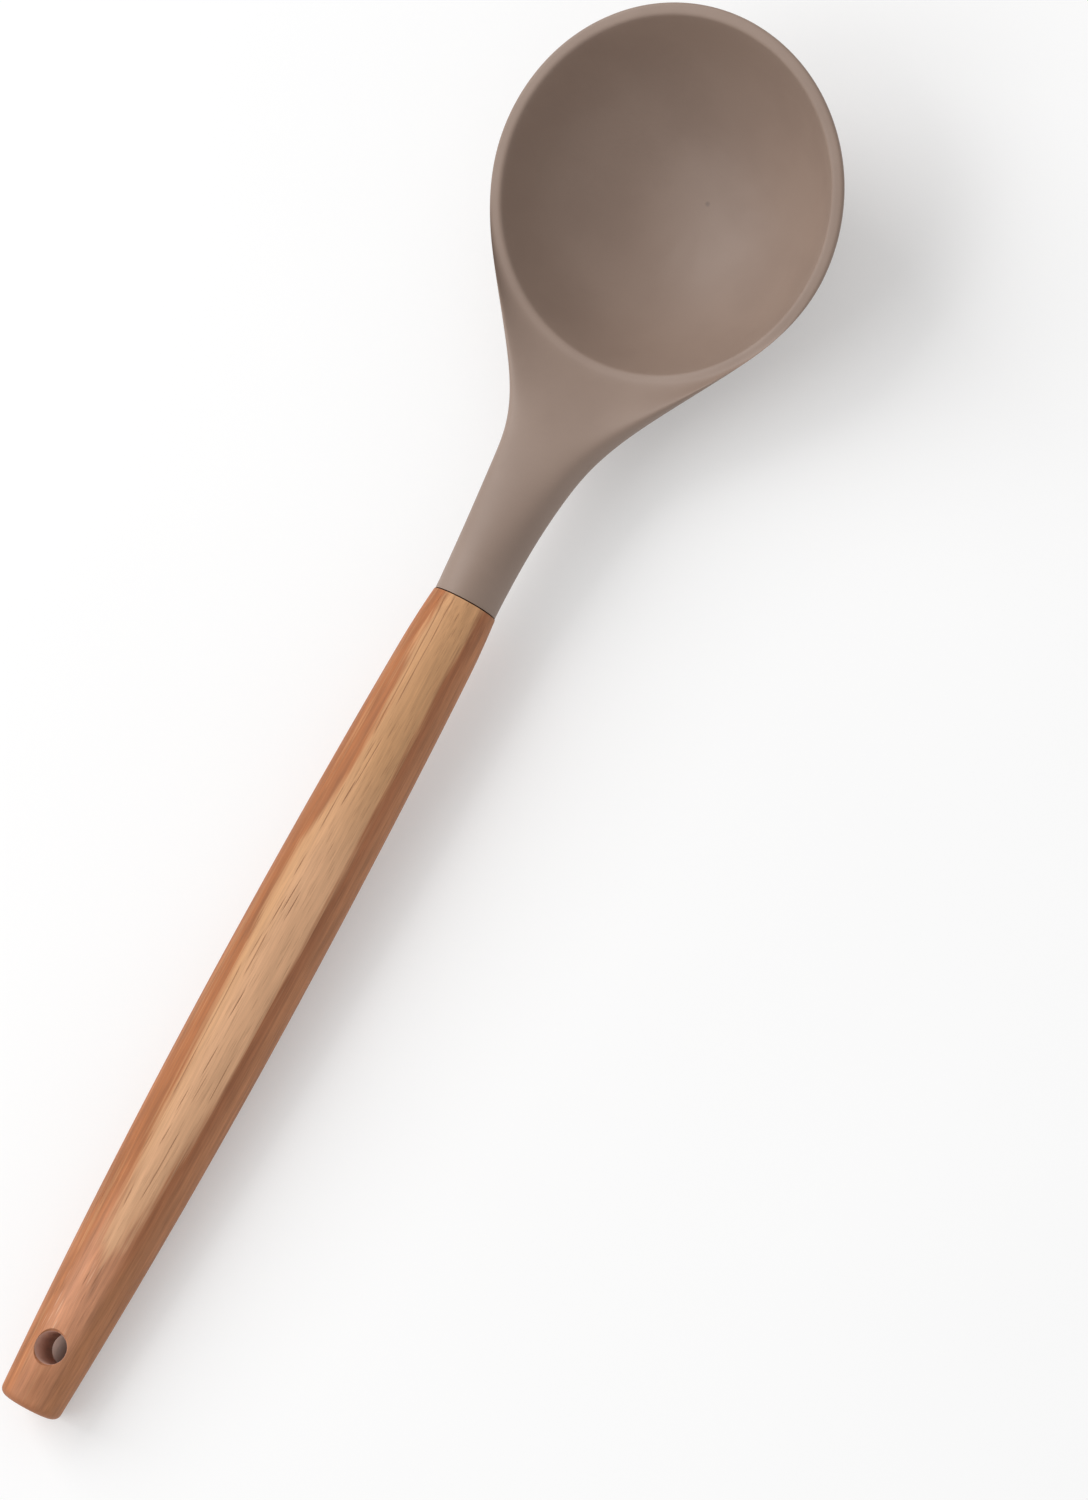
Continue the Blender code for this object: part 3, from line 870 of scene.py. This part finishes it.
class LADLE_OT_head(bpy.types.Operator):
    """Mould the silicone bowl and neck"""
    bl_idname = "ladle.head"
    bl_label = "Silicone Head"

    def execute(self, context):
        head = context.scene.ladle_head
        mesh = head_mesh(head)
        smooth_faces(mesh)
        item = add_piece("silicone_bowl", mesh, ladle_pose(context.scene.ladle_handle))
        soft = item.modifiers.new("Soft form", "SUBSURF")
        soft.levels = head.smoothing
        work_in(item)
        set_material(item, silicone_finish(context.scene.ladle_finish, head))
        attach(item, "root")
        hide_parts("silicone_head")
        return {"FINISHED"}


class LADLE_OT_handle(bpy.types.Operator):
    """Turn the wooden handle and drill its hanging hole"""
    bl_idname = "ladle.handle"
    bl_label = "Wooden Handle"

    def execute(self, context):
        handle = context.scene.ladle_handle
        pose = ladle_pose(handle)
        barrel = turned_mesh("turned_handle", handle_outline(handle), handle.around)
        item = add_piece("turned_handle", barrel, pose)
        bit = turned_mesh("drill", drill_outline(handle), handle.around // 2)
        stand = Vector((0.0, 1.0, 0.0)).rotation_difference(drill_axis()).to_matrix().to_4x4()
        drill = add_piece("drill", bit, pose @ Matrix.Translation(drill_centre(handle)) @ stand)
        bore = item.modifiers.new("Hanging hole", "BOOLEAN")
        bore.operation = "DIFFERENCE"
        bore.solver = "EXACT"
        bore.object = drill
        mesh = work_in(item)
        bpy.data.objects.remove(drill)
        smooth_faces(mesh)
        mesh.set_sharp_from_angle(angle=SHARP_FROM)
        set_material(item, wood_finish(context.scene.ladle_finish, handle))
        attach(item, "root")
        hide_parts("wood_handle")
        return {"FINISHED"}


class LADLE_OT_core(bpy.types.Operator):
    """Finish the hidden core and the glue in the socket"""
    bl_idname = "ladle.core"
    bl_label = "Core and Glue"

    def execute(self, context):
        colours = context.scene.ladle_finish
        set_material(frame["nodes"]["core_insert"], nylon_finish(colours))
        set_material(frame["nodes"]["socket_glue"], glue_finish(colours))
        return {"FINISHED"}


class LADLE_OT_stage(bpy.types.Operator):
    """Lay the table, hang the lights and set up the camera"""
    bl_idname = "ladle.stage"
    bl_label = "Table, Light and Camera"

    def execute(self, context):
        stage = context.scene.ladle_stage
        self.table(stage)
        self.lights(context.scene, stage)
        self.camera(context.scene, stage)
        context.scene.view_settings.view_transform = "Standard"
        return {"FINISHED"}

    def table(self, stage):
        bm = bmesh.new()
        bmesh.ops.create_grid(bm, x_segments=TABLE_SQUARES, y_segments=TABLE_SQUARES, size=TABLE_HALF)
        item = add_piece("table", mesh_from(bm, "table"), Matrix())
        set_material(item, table_finish(stage))

    def lights(self, scene, stage):
        world = bpy.data.worlds.new("studio")
        scene.world = world
        world.use_nodes = True
        sky = Nodes(world.node_tree)
        fill = sky.node("ShaderNodeBackground", {}, {"Color": WHITE, "Strength": stage.sky})
        white = sky.node("ShaderNodeBackground", {}, {"Color": WHITE})
        both = sky.node("ShaderNodeMixShader", {}, {0: sky.seen(), 1: fill, 2: white})
        sky.finish_with("World Output", both)
        self.lamp("key", stage.key_place, stage.key, stage.key_size)
        self.lamp("top", stage.top_place, stage.top, stage.top_size)

    def lamp(self, name, place, power, size):
        light = bpy.data.lights.new(name, "AREA")
        light.energy = power
        light.shape = "SQUARE"
        light.size = size
        item = bpy.data.objects.new(name, light)
        item.location = place
        item.rotation_euler = (LAMP_AIM - Vector(place)).to_track_quat("-Z", "Y").to_euler()
        bpy.context.scene.collection.objects.link(item)

    def camera(self, scene, stage):
        data = bpy.data.cameras.new("camera")
        data.sensor_fit = "VERTICAL"
        data.sensor_height = SENSOR_HEIGHT
        data.lens = stage.lens
        data.clip_start = NEAREST_SEEN
        item = bpy.data.objects.new("camera", data)
        stand = Matrix.LocRotScale(Vector(stage.eye), Quaternion(stage.turn), None)
        item.matrix_world = ladle_pose(scene.ladle_handle) @ stand
        scene.collection.objects.link(item)
        scene.camera = item


class LADLE_PT_panel(bpy.types.Panel):
    """Pieces of the ladle"""
    bl_label = "Soup Ladle"
    bl_idname = "LADLE_PT_panel"
    bl_space_type = "VIEW_3D"
    bl_region_type = "UI"
    bl_category = "Ladle"

    def draw(self, context):
        for operator in OPERATORS:
            self.layout.operator(operator.bl_idname)
        for name in GROUPS:
            box = self.layout.box()
            group = getattr(context.scene, name)
            for key in group.bl_rna.properties.keys():
                if key not in ("rna_type", "name"):
                    box.prop(group, key)


OPERATORS = (LADLE_OT_stage, LADLE_OT_head, LADLE_OT_handle, LADLE_OT_core)
GROUPS = {
    "ladle_head": LadleHeadSizes,
    "ladle_handle": LadleHandleSizes,
    "ladle_finish": LadleFinish,
    "ladle_stage": LadleStage,
}


def register():
    for item in (*GROUPS.values(), *OPERATORS, LADLE_PT_panel):
        bpy.utils.register_class(item)
    for name, group in GROUPS.items():
        setattr(bpy.types.Scene, name, PointerProperty(type=group))


def unregister():
    for name in GROUPS:
        delattr(bpy.types.Scene, name)
    for item in (LADLE_PT_panel, *reversed(OPERATORS), *GROUPS.values()):
        bpy.utils.unregister_class(item)


def main():
    register()
    bpy.ops.ladle.stage()
    bpy.ops.ladle.head()
    bpy.ops.ladle.handle()
    bpy.ops.ladle.core()


if __name__ == "__main__":
    main()
